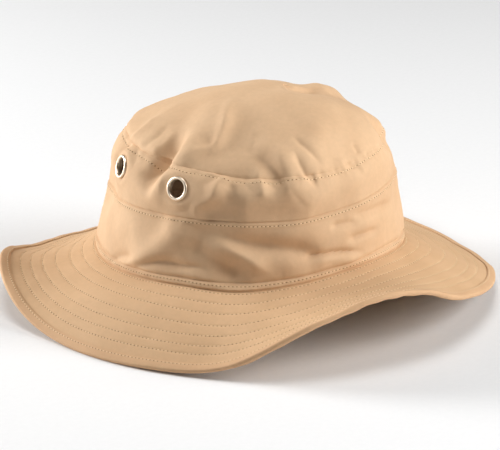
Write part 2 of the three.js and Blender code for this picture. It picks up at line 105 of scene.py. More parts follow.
# Folds and creases. Depth is positive where the cloth stands out. Sharpness is 2 for a soft roll and
# nearer 1 for a knife edge. Lean widens the side to the left of the path and narrows the right one.
# A path is a list of (angle, level).
FOLDS = [
    # depth, width, sharpness, lean, path
    # lower band, wearer's right and front
    (2.6, 7.0, 1.9, 0.0, [(-64, 1.04), (-67, 0.78), (-71, 0.52), (-76, 0.3), (-81, 0.06)]),
    (-4.2, 7.0, 1.8, 0.0, [(-62, 0.78), (-57, 0.57), (-50, 0.4), (-42, 0.25), (-34, 0.06)]),
    (2.8, 5.0, 1.4, 0.0, [(-58, 0.92), (-48, 0.73), (-40, 0.55), (-33, 0.38), (-24, 0.1)]),
    (-5.0, 5.0, 1.5, 0.0, [(-64, 0.9), (-54, 0.82), (-38, 0.7), (-24, 0.6), (-14, 0.48), (-6, 0.36)]),
    (-2.6, 2.4, 1.4, 0.0, [(-86, 0.1), (-77, 0.21), (-70, 0.3), (-62, 0.28), (-54, 0.27), (-49, 0.17)]),
    (0.4, 3.0, 1.6, 0.0, [(-79, 0.1), (-68, 0.15), (-58, 0.2), (-52, 0.17)]),
    (-1.5, 2.5, 1.5, 0.0, [(-98, 0.02), (-92, 0.18), (-82, 0.29)]),
    (1.5, 3.0, 1.5, 0.0, [(-103, 0.02), (-88, 0.13), (-75, 0.3)]),
    (-3.0, 1.7, 1.2, 0.0, [(-17, 0.4), (-9, 0.38), (0, 0.33), (12, 0.2)]),
    (1.0, 4.0, 1.6, 0.0, [(-14, 0.3), (-3, 0.25), (11, 0.09)]),
    (-2.2, 1.9, 1.3, 0.0, [(2, 0.48), (11, 0.48), (22, 0.44)]),
    (-1.8, 2.0, 1.4, 0.0, [(-5, 0.78), (2, 0.76), (10, 0.7)]),
    (-2.6, 3.0, 1.5, 0.0, [(4, 0.83), (18, 0.77), (40, 0.65)]),
    # upper band and round top, wearer's right
    (-7.2, 7.8, 1.7, -0.25, [(-76, 2.5), (-79, 2.3), (-80, 2.12), (-82, 1.78), (-84, 1.51), (-86, 1.27)]),
    (3.0, 6.0, 1.6, 0.3, [(-78, 2.52), (-74, 2.3), (-74, 2.08), (-76, 1.86)]),
    (1.8, 8.0, 1.8, 0.4, [(-74, 2.14), (-75, 1.78), (-77, 1.42), (-80, 1.04)]),
    (-1.0, 3.0, 1.5, 0.0, [(-80, 2.12), (-82, 1.93), (-84, 1.72), (-86, 1.45)]),
    (-0.8, 2.2, 1.4, 0.0, [(-60, 1.72), (-56, 1.76), (-53, 1.87), (-52, 2.0)]),
    (1.7, 3.6, 1.5, 0.0, [(-51, 2.09), (-51, 1.79), (-52, 1.51), (-57, 1.29), (-62, 1.15)]),
    (-2.5, 8.0, 1.8, 0.0, [(-58, 1.02), (-52, 1.12), (-44, 1.22), (-38, 1.2)]),
    (-1.6, 4.5, 1.7, 0.0, [(-46, 1.92), (-46, 1.65), (-45, 1.3)]),
    (0.9, 4.0, 1.8, 0.0, [(-68, 1.99), (-56, 1.99), (-42, 1.99), (-28, 1.99), (-12, 1.98)]),
    (-0.8, 4.0, 1.8, 0.0, [(-70, 2.05), (-56, 2.05), (-42, 2.05), (-28, 2.05), (-8, 2.05)]),
    (-3.6, 11.0, 1.9, 0.0, [(-70, 2.27), (-58, 2.29), (-44, 2.3), (-26, 2.28)]),
    (-3.0, 5.0, 1.6, 0.0, [(-108, 2.03), (-110, 1.7), (-114, 1.44)]),
    # upper band and round top, front
    (1.6, 3.2, 1.5, 0.0, [(-36, 2.2), (-35, 2.04), (-33, 1.78), (-31, 1.49)]),
    (-2.6, 4.4, 1.6, 0.0, [(-39, 2.34), (-33, 2.25), (-29, 2.16), (-26, 1.97), (-24, 1.68)]),
    (2.6, 6.5, 1.6, 0.35, [(-22, 2.4), (-24, 2.2), (-23, 1.9), (-19, 1.45)]),
    (-1.5, 2.4, 1.3, 0.0, [(-17, 2.3), (-16, 2.14), (-14, 1.97), (-9, 1.68)]),
    (-1.4, 2.4, 1.3, 0.0, [(-14, 2.42), (-11, 2.32), (-8, 2.22), (-5, 2.08)]),
    (-1.0, 1.5, 1.3, 0.0, [(-13, 2.08), (-11, 1.93), (-11, 1.79)]),
    (-0.4, 1.8, 1.5, 0.0, [(-24, 1.83), (-19, 1.54), (-14, 1.19)]),
    (-1.2, 2.0, 1.4, 0.0, [(20, 2.22), (19, 2.15), (19, 2.07)]),
    (1.0, 3.4, 1.5, 0.0, [(7, 2.16), (6, 2.03), (8, 1.71)]),
    (-0.9, 2.0, 1.4, 0.0, [(9, 2.08), (12, 1.86), (16, 1.66)]),
    # round top
    (2.6, 4.0, 1.5, 0.0, [(-66, 2.85), (-60, 2.73), (-56, 2.58), (-56, 2.46), (-58, 2.35), (-66, 2.25),
                          (-75, 2.12)]),
    (1.1, 3.4, 1.6, 0.0, [(-116, 2.47), (-108, 2.3), (-110, 1.96)]),
    (-1.1, 3.2, 1.6, 0.0, [(-99, 2.48), (-95, 2.3), (-98, 2.01)]),
    (1.0, 2.8, 1.6, 0.0, [(-90, 2.47), (-88, 2.27), (-91, 2.03)]),
    (-1.0, 3.2, 1.6, 0.0, [(-33, 2.5), (-37, 2.39), (-38, 2.27)]),
    (-0.8, 6.0, 1.8, 0.0, [(-70, 2.6), (-65, 2.46), (-68, 2.34)]),
    # wearer's left and back
    (2.8, 6.5, 1.8, 0.0, [(57, 2.26), (61, 2.1), (63, 1.95), (64, 1.8), (63, 1.56)]),
    (4.0, 8.0, 2.0, 0.0, [(75, 2.56), (86, 2.42), (96, 2.24)]),
    (-3.0, 9.0, 2.0, 0.0, [(55, 2.74), (68, 2.62), (80, 2.6)]),
    (-3.5, 7.0, 1.6, 0.0, [(58, 2.3), (55, 2.1), (52, 1.85), (54, 1.5)]),
    (-4.0, 8.0, 1.7, 0.0, [(96, 2.3), (94, 2.1), (93, 1.85), (95, 1.4)]),
    (2.5, 6.0, 1.6, 0.0, [(132, 2.35), (134, 2.1), (131, 1.7), (127, 1.3)]),
    (-4.0, 8.0, 1.7, 0.0, [(150, 2.4), (146, 2.15), (145, 1.85), (148, 1.4)]),
    (-3.5, 8.0, 1.7, 0.0, [(-168, 2.45), (-165, 2.2), (-166, 1.85), (-163, 1.4)]),
    (1.0, 7.0, 1.7, 0.0, [(-142, 2.35), (-146, 2.1), (-145, 1.7), (-140, 1.3)]),
    (-5.0, 12.0, 2.0, 0.0, [(60, 0.8), (78, 0.6), (96, 0.35), (112, 0.22)]),
    (-5.0, 12.0, 2.0, 0.0, [(-178, 0.75), (-160, 0.6), (-142, 0.35), (-128, 0.2)]),
    (-3.0, 8.0, 1.8, 0.0, [(128, 0.7), (144, 0.6), (160, 0.38)]),
]
FOLD_SAMPLES = 24
FOLD_END_SHARE = 0.3           # share of a fold's length over which an end dies away
FOLD_REACH = 4                 # widths from its path beyond which a fold is left out
FOLD_LEAN_SPAN = 0.3           # widths over which a lean passes from one side to the other
FOLD_ROUNDING = 0.12           # widths over which even a sharp fold is rounded
FOLD_FOOT = 0.1                # level up to which the folds die away towards the brim

# The cloth's soft unevenness: height, size of a swell, and seed.
CROWN_SWELLS = [(0.8, 42.0, 1), (0.22, 17.0, 2)]
CROWN_SWELL_FOOT = 0.15        # level up to which it dies away towards the brim
BRIM_SWELL = (0.25, 30.0, 3)
BRIM_SWELL_START = 0.25        # share of the brim over which it grows
SWELL_WAVES = 9
SWELL_SPREAD = (0.6, 1.4)      # range of a wave's pitch against the mean
SWELL_GAIN = 1.2

# Vent eyelets: the cloth is pressed flat round each, between the two radii.
EYELETS = {
    "eyelet_right_back": (-103.5, 1.56),
    "eyelet_right_front": (-67.5, 1.56),
    "eyelet_left_front": (76.5, 1.56),
    "eyelet_left_back": (112.5, 1.56),
}
EYELET_SINK = 0.4
EYELET_FLAT = (8.5, 14.0)
EYELET_NEAR = 35.0             # farther cloth isn't touched by an eyelet
EYELET_CUT = 5.8               # radius of the hole in the cloth, under the rim
EYELET_SIDES = 64

STRIP_HEIGHT = 3.4             # the raised strip at the foot of the lower band
STRIP_PROUD = 0.7
STRIP_EDGE = 0.8
STRIP_GROOVE_ABOVE = 0.7       # from the strip's edge up to the groove over it
LOWER_HEIGHT = 38.0            # typical heights of the side bands
UPPER_HEIGHT = 28.5
TIP_RADIUS = 83.0              # from seam to middle of the round top, along the cloth
TIP_EDGE_STRETCH = 1.35        # near its seam a level of the round top spans more cloth than the mean
TIP_MIDDLE = 1.0               # the last ring's distance from the middle of the round top

# Rows of stitches, as distances from the seam that they follow.
BRIM_ROWS = [2.0, 9.7, 17.5, 26.6, 34.5, 41.7, 47.8]
BINDING_ROW = 55.7
LOWER_ROWS = [STRIP_HEIGHT - 0.9, LOWER_HEIGHT - 2.0]
UPPER_ROWS = [UPPER_HEIGHT - 2.7]
STITCH_PITCH = 2.4
STITCH_LENGTH = 1.8
THREAD_WIDTH = 0.65
HOLE_WIDTH = 0.75

# Dips along rows and seams: depth and half width.
STITCH_DIP = (0.22, 0.75)
TAPE_STITCH_DIP = (0.22, 0.6)
BRIM_SEAM_DIP = (0.765, 0.6)
BAND_SEAM_DIP = (0.9, 0.6)
TOP_SEAM_DIP = (0.45, 0.7)
STRIP_DIP = (0.9, 0.7)
STITCH_PULL = (0.45, 7.0, 5)   # how much a row's pull wanders, over what length, and its seed

# The round top's seam lies nearly flush, and opens at the wearer's right back.
TOP_SEAM_FLUSH = 0.05
TOP_SEAM_OPENING = (0.95, 30.0)
TOP_SEAM_OPEN_AT = -118

# The turned edge that stands proud beside the seam of the two bands.
SEAM_FOLD = {"width": 3.0, "proud": 0.4, "edge": 0.6}

# Puckers: upright ripples of two sizes, with their depth and reach at each seam.
PUCKERS = [(1.0, 9.0, 11), (0.7, 5.0, 12)]
PUCKER_UPRIGHT = 0.15          # how fast they change up the cloth, against round it
TOP_SEAM_PUCKER = (0.22, 7.0)
BAND_SEAM_PUCKER = (0.055, 6.0)
BRIM_SEAM_PUCKER = (0.08, 7.0)

BINDING = {"width": 6.0, "wall": 0.8, "nose": 1.3}
# The tape's rounded edge: distance in from the end, and depth under the tape's face.
TAPE_LIP = [(0.0, 0.68), (0.12, 0.3), (0.5, 0.1), (1.0, 0.0), (1.7, 0.0), (2.6, 0.0), (3.5, 0.0)]
TAPE_CLEARANCE = 0.05          # between the tape's inner faces and the brim
TAPE_INNER_END = 0.1
TAPE_FACE = 1.0                # its faces lie farther than this from the brim's middle
TAPE_UNEVEN = (0.08, 14.0, 21)
TAPE_STITCH_CLEAR = 0.3        # least height of its stitches over the floor

# Spacing of the rings of points, and of the first ring from a panel's edge.
TOP_SPACING = 1.25
BAND_SPACING = 1.0
BRIM_SPACING = 1.6
CROWN_EDGE_LINE = 0.8
BRIM_EDGE_LINE = 0.5
LINE_STEPS = (-1.5, -1.0, -0.5, 0, 0.5, 1.0, 1.5)   # where rings lie close beside a row or seam
TOP_INSIDE_SKIP = 4            # the inside keeps every fourth ring of the top
BAND_INSIDE_SKIP = 3           # and every third of the lower band

# ---- curves of the hat


def smooth(share):
    s = np.clip(share, 0.0, 1.0)
    return s * s * (3 - 2 * s)


def around(column, angle):
    """A column of the sections table at any angle, as a smooth closed curve through its rows."""
    keys = SECTIONS[:, 0]
    values = SECTIONS[:, SECTION_COLUMNS.index(column)]
    count = len(keys)
    target = (np.asarray(angle, float) + 180) % 360 - 180
    index = np.searchsorted(keys, target, side="right") - 1

    def row(offset):
        turn, place = np.divmod(index + offset, count)
        return keys[place] + 360 * turn, values[place]

    (k0, v0), (k1, v1), (k2, v2), (k3, v3) = row(-1), row(0), row(1), row(2)
    span = k2 - k1
    s = (target - k1) / span
    slope1 = (v2 - v0) / (k2 - k0)
    slope2 = (v3 - v1) / (k3 - k1)
    return ((2 * s**3 - 3 * s**2 + 1) * v1 + (s**3 - 2 * s**2 + s) * span * slope1
            + (3 * s**2 - 2 * s**3) * v2 + (s**3 - s**2) * span * slope2)


def unit(vectors):
    return vectors / np.linalg.norm(vectors, axis=-1, keepdims=True)


def dot(a, b):
    return (a * b).sum(axis=-1, keepdims=True)


def seam_point(level, angle):
    half_width, half_length, x, y = SEAMS[level]
    t = np.radians(angle)
    height = around(f"seam{level}", angle)
    return np.stack([x + half_width * np.sin(t), y - half_length * np.cos(t), height], -1)


def away_from_head(level, angle):
    """The level direction square to a seam's oval."""
    half_width, half_length, _, _ = SEAMS[level]
    t = np.radians(angle)
    return unit(np.stack([half_length * np.sin(t), -half_width * np.cos(t), 0 * t], -1))


def arc_turn(start, drop_share):
    """The turn of an arc that starts at a slope and drops a share of its own length. It is never quite 0."""
    low = np.full_like(start, -WIDEST_TURN)
    high = np.full_like(start, WIDEST_TURN)
    for _ in range(HALVINGS):
        middle = (low + high) / 2 + 1e-9
        short = (np.cos(start) - np.cos(start + middle)) / middle < drop_share
        low = np.where(short, middle, low)
        high = np.where(short, high, middle)
    return (low + high) / 2 + 1e-6


def brim_point(angle, share):
    seam = seam_point(0, angle)
    start = np.radians(around("slope", angle))
    turn = arc_turn(start, (seam[..., 2] - around("edge", angle)) / BRIM_WIDTH)
    slope = start + turn * share
    out = BRIM_WIDTH * (np.sin(slope) - np.sin(start)) / turn
    down = BRIM_WIDTH * (np.cos(start) - np.cos(slope)) / turn
    point = seam + away_from_head(0, angle) * out[..., None]
    point[..., 2] = seam[..., 2] - down
    return point


def band_point(level, angle, share):
    foot = seam_point(level, angle)
    rise = seam_point(level + 1, angle) - foot
    along = unit(rise)
    out = away_from_head(level, angle)
    out = unit(out - along * dot(out, along))
    skew = 1.0 if level == 0 else math.log(0.5) / math.log(UPPER_FULLEST)
    bulge = around("low" if level == 0 else "high", angle) * np.sin(np.pi * share**skew)
    return foot + rise * share[..., None] + out * bulge[..., None]


def top_point(angle, share):
    seam = seam_point(2, angle)
    roundness = DOME["roundness"] + DOME["lean"] * np.cos(np.radians(angle - DOME["lean_angle"]))
    turn = (1 - share) * np.pi / 2
    reach = np.sin(turn) ** (2 / roundness)
    lift = np.cos(turn) ** (2 / roundness)
    x = DOME["x"] + (seam[..., 0] - DOME["x"]) * reach
    y = DOME["y"] + (seam[..., 1] - DOME["y"]) * reach
    crest = DOME["height"] + (DOME["rise_left"] * x - DOME["rise_front"] * y) / DOME["rise_span"]
    return np.stack([x, y, seam[..., 2] * (1 - lift) + crest * lift], -1)


def smooth_skin(angle, level):
    angle, level = np.broadcast_arrays(np.asarray(angle, float), np.asarray(level, float))
    point = np.zeros(angle.shape + (3,))
    for inside, place in (
        (level < 0, lambda a, s: brim_point(a, -s)),
        ((level >= 0) & (level < 1), lambda a, s: band_point(0, a, s)),
        ((level >= 1) & (level < 2), lambda a, s: band_point(1, a, s - 1)),
        (level >= 2, lambda a, s: top_point(a, np.clip(s - 2, 0, 1))),
    ):
        if inside.any():
            point[inside] = place(angle[inside], level[inside])
    return point


def outward(angle, level):
    """The outward direction of the smooth skin. Across a seam it lies between both panels'."""
    low = np.minimum(level, 3 - 2 * LEVEL_STEP)
    across = smooth_skin(angle + ANGLE_STEP, low) - smooth_skin(angle - ANGLE_STEP, low)
    rise = smooth_skin(angle, low + LEVEL_STEP) - smooth_skin(angle, low - LEVEL_STEP)
    return unit(np.cross(across, rise))


def curve_through(corners, count):
    """A smooth curve through a few corners."""
    p = np.asarray(corners, float)
    p = np.vstack([2 * p[0] - p[1], p, 2 * p[-1] - p[-2]])
    t = np.linspace(0, len(corners) - 1, count)
    i = np.minimum(t.astype(int), len(corners) - 2)
    s = (t - i)[:, None]
    a, b, c, d = p[i], p[i + 1], p[i + 2], p[i + 3]
    return 0.5 * (2 * b + (c - a) * s + (2 * a - 5 * b + 4 * c - d) * s**2 + (3 * b - a - 3 * c + d) * s**3)


FOLD_LINES = [smooth_skin(*curve_through(path, FOLD_SAMPLES).T) for *_, path in FOLDS]


def folds_shift(points, normals):
    """How far the folds move points of the smooth skin, outwards."""
    total = np.zeros(len(points))
    for (depth, width, sharpness, lean, _), line in zip(FOLDS, FOLD_LINES):
        low, high = line.min(0) - FOLD_REACH * width, line.max(0) + FOLD_REACH * width
        near = np.flatnonzero(np.all((points > low) & (points < high), axis=1))
        if not len(near):
            continue
        start, step = line[:-1], np.diff(line, axis=0)
        place = points[near][:, None, :]
        share = np.clip(((place - start) * step).sum(-1) / (step**2).sum(-1), 0, 1)
        offset = place - (start + step * share[..., None])
        gap = np.linalg.norm(offset, axis=-1)
        best = gap.argmin(axis=1)
        each = np.arange(len(near))
        along = (best + share[each, best]) / len(start)
        left = dot(np.cross(normals[near], step[best]), offset[each, best])[:, 0]
        span = width * np.linalg.norm(step[best], axis=-1) * FOLD_LEAN_SPAN
        sided = width * (1 + lean * np.tanh(left / span))
        u = np.sqrt((gap[each, best] / sided) ** 2 + FOLD_ROUNDING**2) - FOLD_ROUNDING
        ends = smooth(np.minimum(along, 1 - along) / FOLD_END_SHARE)
        total[near] += depth * ends * np.exp(-(u**sharpness))
    return total


def wander(points, height, size, seed):
    """Soft seeded unevenness of about a height, with swells of about a size."""
    rng = np.random.RandomState(seed)
    value = np.zeros(points.shape[:-1])
    for _ in range(SWELL_WAVES):
        way = unit(rng.normal(size=3)) * rng.uniform(*SWELL_SPREAD) * 2 * np.pi / size
        value += np.sin(points @ way + rng.uniform(0, 2 * np.pi))
    return height * SWELL_GAIN * value / math.sqrt(SWELL_WAVES)


def dip(distance, size):
    """A depth that dies away over a half width on both sides of a line."""
    depth, reach = size
    return depth * np.exp(-((distance / reach) ** 2))


def step_down(height, top, edge):
    """1 below a height and 0 above it, with an edge of some width between."""
    return smooth((top + edge / 2 - height) / edge)


def seam_detail(angle, level, points):
    """Grooves, pulled stitches, puckers and the raised strip, as shifts outwards."""
    brim = level < 0
    lower = (level >= 0) & (level <= 1)
    upper = (level >= 1) & (level <= 2)
    over_brim = -level * BRIM_WIDTH
    up_lower = level * LOWER_HEIGHT
    up_upper = (level - 1) * UPPER_HEIGHT
    from_brim_seam = np.where(brim, over_brim, up_lower)
    from_band_seam = np.where(level < 1, LOWER_HEIGHT - up_lower, up_upper)
    from_top_seam = np.where(level < 2, UPPER_HEIGHT - up_upper, (level - 2) * TIP_RADIUS * TIP_EDGE_STRETCH)
    shift = np.zeros(level.shape)
    pull = 1 + wander(points, *STITCH_PULL)
    for panel, distance, rows in ((brim, over_brim, BRIM_ROWS), (lower, up_lower, LOWER_ROWS),
                                  (upper, up_upper, UPPER_ROWS)):
        for row in rows:
            shift -= panel * pull * dip(distance - row, STITCH_DIP)
    shift += lower * STRIP_PROUD * step_down(up_lower, STRIP_HEIGHT, STRIP_EDGE)
    shift += lower * SEAM_FOLD["proud"] * step_down(from_band_seam, SEAM_FOLD["width"], SEAM_FOLD["edge"])
    shift -= dip(from_brim_seam, BRIM_SEAM_DIP) + dip(from_band_seam, BAND_SEAM_DIP)
    opened = TOP_SEAM_FLUSH + dip(angle - TOP_SEAM_OPEN_AT, TOP_SEAM_OPENING)
    shift -= opened * dip(from_top_seam, TOP_SEAM_DIP)
    shift -= lower * dip(up_lower - STRIP_HEIGHT - STRIP_GROOVE_ABOVE, STRIP_DIP)
    upright = points * (1, 1, PUCKER_UPRIGHT)
    puckers = sum(wander(upright, *size) for size in PUCKERS)
    shift += puckers * ~brim * (dip(from_band_seam, BAND_SEAM_PUCKER) + dip(from_top_seam, TOP_SEAM_PUCKER))
    shift += puckers * lower * dip(from_brim_seam, BRIM_SEAM_PUCKER)
    return shift


def round_eyelet(points, centre, way):
    """Heights of points over an eyelet's middle, and distances from its axis, endless for far points."""
    offset = points - centre
    height = dot(offset, way)
    radius = np.linalg.norm(offset - way * height, axis=-1)
    return height, np.where(np.linalg.norm(offset, axis=-1) < EYELET_NEAR, radius, np.inf)


def finished_skin(angle, level):
    """The outside of the cloth, with its folds, seams and pressed patches. Returns points and normals."""
    angle, level = np.broadcast_arrays(np.asarray(angle, float), np.asarray(level, float))
    shape = angle.shape
    angle, level = angle.ravel(), level.ravel()
    point = smooth_skin(angle, level)
    normal = outward(angle, level)
    crown = level >= 0
    shift = np.zeros(len(angle))
    shift[crown] = folds_shift(point[crown], normal[crown]) * smooth(level[crown] / FOLD_FOOT)
    crown_swell = sum(wander(point, *swell) for swell in CROWN_SWELLS) * smooth(level / CROWN_SWELL_FOOT)
    brim_swell = wander(point, *BRIM_SWELL) * smooth(-level / BRIM_SWELL_START)
    shift += np.where(crown, crown_swell, brim_swell)
    shift += seam_detail(angle, level, point)
    point = point + normal * shift[:, None]
    inner, outer = EYELET_FLAT
    for centre, way in EYELET_FRAMES.values():
        height, radius = round_eyelet(point, centre, way)
        pressed = (1 - smooth((radius - inner) / (outer - inner))) * crown
        point = point - way * height * pressed[:, None]
    return point.reshape(shape + (3,)), normal.reshape(shape + (3,))


def eyelet_frame(angle, level):
    angle, level = np.array([float(angle)]), np.array([level])
    way = outward(angle, level)[0]
    return smooth_skin(angle, level)[0] - way * EYELET_SINK, way


EYELET_FRAMES = {name: eyelet_frame(*place) for name, place in EYELETS.items()}

# ---- meshes


def binding_section():
    """The folded tape's section: distance in from the edge and height over the brim, outside then inside."""
    width, top, nose = BINDING["width"], BINDING["wall"], BINDING["nose"]
    middle = -BRIM_WALL / 2
    half = top - middle
    turn = np.radians(np.linspace(90, 270, ROUND_POINTS))
    over = [(width - inward, top - depth) for inward, depth in TAPE_LIP]
    round_nose = [(nose + nose * math.cos(t), middle + half * math.sin(t)) for t in turn]
    under = [(inward, 2 * middle - height) for inward, height in reversed(over)]
    end = width - TAPE_INNER_END
    low, high = -BRIM_WALL - TAPE_CLEARANCE, TAPE_CLEARANCE
    return over + round_nose + under + [(end, low), (nose, low), (nose, high), (end, high)]


def uneven_tape(height, point):
    """Heights of the tape over the brim's skin, a little uneven where its faces lie."""
    face = np.abs(height + BRIM_WALL / 2) > TAPE_FACE
    return height * (1 + wander(point, *TAPE_UNEVEN) * face)


def binding_rings(angles):
    section = np.array(binding_section())
    inward, height = section[:, :1], section[:, 1:]
    point, normal = finished_skin(angles[None, :], inward / BRIM_WIDTH - 1)
    pulled = dip(inward - (BRIM_WIDTH - BINDING_ROW), TAPE_STITCH_DIP)
    height = height - np.sign(height + BRIM_WALL / 2) * pulled
    point = point + normal * uneven_tape(height, point)[..., None]
    point[..., 2] = np.maximum(point[..., 2], -FLOOR_BELOW_EDGE)
    return point


def ring_angles(columns):
    return np.arange(columns) * 360.0 / columns - 180


BINDING_POINTS = binding_rings(ring_angles(BRIM_COLUMNS))
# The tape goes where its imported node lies, and the rest of the hat with it.
TAPE_BOX = np.array(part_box("brim_binding")) / MM
SHIFT = (TAPE_BOX.sum(0) - BINDING_POINTS.min((0, 1)) - BINDING_POINTS.max((0, 1))) / 2
SHIFT[2] = FLOOR_BELOW_EDGE


def in_part_frame(points):
    """From the tables' millimetres to the part's own frame, in metres."""
    return (points + SHIFT) * MM


def placed(name, data):
    made = bpy.data.objects.new(name, data)
    bpy.context.scene.collection.objects.link(made)
    return made


def new_object(name, points, faces, uv=None, sharp=50):
    """A mesh object from points in the tables' frame. uv holds a pair for each corner of each face."""
    mesh = bpy.data.meshes.new(name)
    mesh.from_pydata(in_part_frame(np.asarray(points)).tolist(), [], [tuple(face) for face in faces])
    if uv is not None:
        layer = mesh.uv_layers.new(name="cloth_mm")
        layer.data.foreach_set("uv", np.asarray(uv, np.float32).ravel())
    mesh.polygons.foreach_set("use_smooth", [True] * len(mesh.polygons))
    mesh.set_sharp_from_angle(angle=math.radians(sharp))
    mesh.validate()
    return placed(name, mesh)


def ring_quads(rows, columns, closed=True):
    """Faces between rings of points, one ring after another, outwards for rings that go up the skin."""
    row, column = np.meshgrid(np.arange(rows if closed else rows - 1), np.arange(columns), indexing="ij")
    after, beside = (row + 1) % rows, (column + 1) % columns
    quads = np.stack([row * columns + column, row * columns + beside,
                      after * columns + beside, after * columns + column], -1)
    return quads.reshape(-1, 4), row, column


def ring_uvs(u, v, row, column):
    """The corners' uv on the same faces. u has one column more than the rings, so that the join is clean."""
    after = (row + 1) % len(v)
    corners = [(row, column), (row, column + 1), (after, column + 1), (after, column)]
    return np.stack([np.stack([u[c], v[r]], -1) for r, c in corners], 2).reshape(-1, 4, 2)


def lengths_round(ring):
    closed = np.vstack([ring, ring[:1]])
    return np.concatenate([[0], np.cumsum(np.linalg.norm(np.diff(closed, axis=0), axis=1))])


def rows_of(length, lines, spacing):
    """Distances along a panel, dense near each line and evenly spread between."""
    rows = {0.0, length}
    for line in lines:
        rows.update(round(line + step, 3) for step in LINE_STEPS)
    rows = sorted(row for row in rows if 0 <= row <= length)
    filled = []
    for low, high in zip(rows, rows[1:]):
        count = max(1, round((high - low) / spacing))
        filled += [low + (high - low) * index / count for index in range(count)]
    return np.array(filled + [length])


def two_faces(levels, wall, columns, skip=1):
    """A panel's outside and inside as rings of points, and which rings the inside keeps."""
    outside, normal = finished_skin(ring_angles(columns)[None, :], levels[:, None])
    keep = sorted(set(range(0, len(levels), skip)) | {len(levels) - 1})
    return outside, (outside - normal * wall)[keep], keep


def cloth_wall(name, levels, distances, wall, columns, skip=1):
    """A panel of cloth with its own thickness: outside, inside and the edges between them."""
    outside, inside, keep = two_faces(levels, wall, columns, skip)
    rings = np.vstack([outside, inside[::-1]])
    quads, row, column = ring_quads(len(rings), columns)
    up = np.concatenate([distances, distances[keep][::-1]])
    uv = ring_uvs(lengths_round(outside[0]), up, row, column)
    return new_object(name, rings.reshape(-1, 3), quads, uv)


def crown_tip():
    """The round top, closed by a fan at the middle of each face."""
    distances = rows_of(TIP_RADIUS, [CROWN_EDGE_LINE], TOP_SPACING)
    levels = 2 + distances[distances < TIP_RADIUS - TIP_MIDDLE] / TIP_RADIUS
    outside, inside, _ = two_faces(levels, CROWN_WALL, CROWN_COLUMNS, TOP_INSIDE_SKIP)
    rings = np.vstack([inside[::-1], outside])
    quads, _, _ = ring_quads(len(rings), CROWN_COLUMNS, closed=False)
    middle = outside[-1].mean(axis=0)
    points = np.vstack([rings.reshape(-1, 3), [middle - (0, 0, CROWN_WALL), middle]])
    under, over = len(points) - 2, len(points) - 1
    last = (len(rings) - 1) * CROWN_COLUMNS
    here = np.arange(CROWN_COLUMNS)
    beside = (here + 1) % CROWN_COLUMNS
    fan = [(under, b, a) for a, b in zip(here, beside)]
    fan += [(over, last + a, last + b) for a, b in zip(here, beside)]
    return new_object("soft_crown_tip", points, quads.tolist() + fan)


def lower_side_band():
    lines = [CROWN_EDGE_LINE, STRIP_HEIGHT, *LOWER_ROWS, LOWER_HEIGHT - CROWN_EDGE_LINE]
    distances = rows_of(LOWER_HEIGHT, lines, BAND_SPACING)
    levels = distances / LOWER_HEIGHT
    return cloth_wall("soft_lower_side_band", levels, distances, CROWN_WALL, CROWN_COLUMNS, BAND_INSIDE_SKIP)


def open_vents(outside, inside):
    """Which cells lie in a vent hole. The points round them are drawn out to the hole's own circle."""
    rows, columns = outside.shape[:2]
    open_cells = np.zeros((rows - 1, columns), bool)
    for centre, way in EYELET_FRAMES.values():
        within = round_eyelet(outside, centre, way)[1] < EYELET_CUT
        beside = np.roll(within, -1, axis=1)
        cells = within[:-1] | beside[:-1] | within[1:] | beside[1:]
        corner = np.zeros((rows, columns), bool)
        for shifted in (cells, np.roll(cells, 1, axis=1)):
            corner[:-1] |= shifted
            corner[1:] |= shifted
        rim = corner & ~within
        for face in (outside, inside):
            offset = face[rim] - centre
            height = way * dot(offset, way)
            face[rim] = centre + height + unit(offset - height) * EYELET_CUT
        open_cells |= cells
    return open_cells


def used_only(points, faces):
    """The points that faces use, and the faces renumbered to them."""
    faces = np.asarray(faces)
    used, place = np.unique(faces, return_inverse=True)
    return points[used], place.reshape(faces.shape)


def upper_side_band():
    """The band with the vent holes, which are cut through both its faces and walled round."""
    columns = CROWN_COLUMNS
    lines = [CROWN_EDGE_LINE, UPPER_HEIGHT - CROWN_EDGE_LINE, *UPPER_ROWS]
    distances = rows_of(UPPER_HEIGHT, lines, BAND_SPACING)
    outside, inside, _ = two_faces(1 + distances / UPPER_HEIGHT, CROWN_WALL, columns)
    open_cells = open_vents(outside, inside)
    rows = len(distances)
    rings = np.vstack([outside, inside[::-1]])
    quads, row, column = ring_quads(2 * rows, columns)
    uv = ring_uvs(lengths_round(outside[0]), np.concatenate([distances, distances[::-1]]), row, column)
    cell_row = np.where(row < rows - 1, row, 2 * rows - 2 - row)
    edge_row = (row == rows - 1) | (row == 2 * rows - 1)
    kept = (edge_row | ~open_cells[np.clip(cell_row, 0, rows - 2), column]).ravel()
    faces, corners = quads[kept].tolist(), uv[kept].tolist()

    def outer(r, c):
        return r * columns + c % columns

    def inner(r, c):
        return (2 * rows - 1 - r) * columns + c % columns

    # each edge of an open cell that borders kept cloth gets a small wall between the two faces
    for r, c in zip(*np.nonzero(open_cells)):
        sides = [((r, c), (r, c + 1), (r - 1, c)), ((r, c + 1), (r + 1, c + 1), (r, c + 1)),
                 ((r + 1, c + 1), (r + 1, c), (r + 1, c)), ((r + 1, c), (r, c), (r, c - 1))]
        for first, second, (r3, c3) in sides:
            if 0 <= r3 < rows - 1 and not open_cells[r3, c3 % columns]:
                faces.append([outer(*first), outer(*second), inner(*second), inner(*first)])
                corners.append([(0, 0)] * 4)
    points, faces = used_only(rings.reshape(-1, 3), faces)
    return new_object("soft_upper_side_band", points, faces, np.array(corners))


def brim():
    lines = [BRIM_EDGE_LINE, *BRIM_ROWS, BINDING_ROW]
    distances = rows_of(BRIM_WIDTH - BINDING["nose"], lines, BRIM_SPACING)[::-1]
    levels = -distances / BRIM_WIDTH
    levels[-1] = 0
    return cloth_wall("soft_brim", levels, distances, BRIM_WALL, BRIM_COLUMNS)


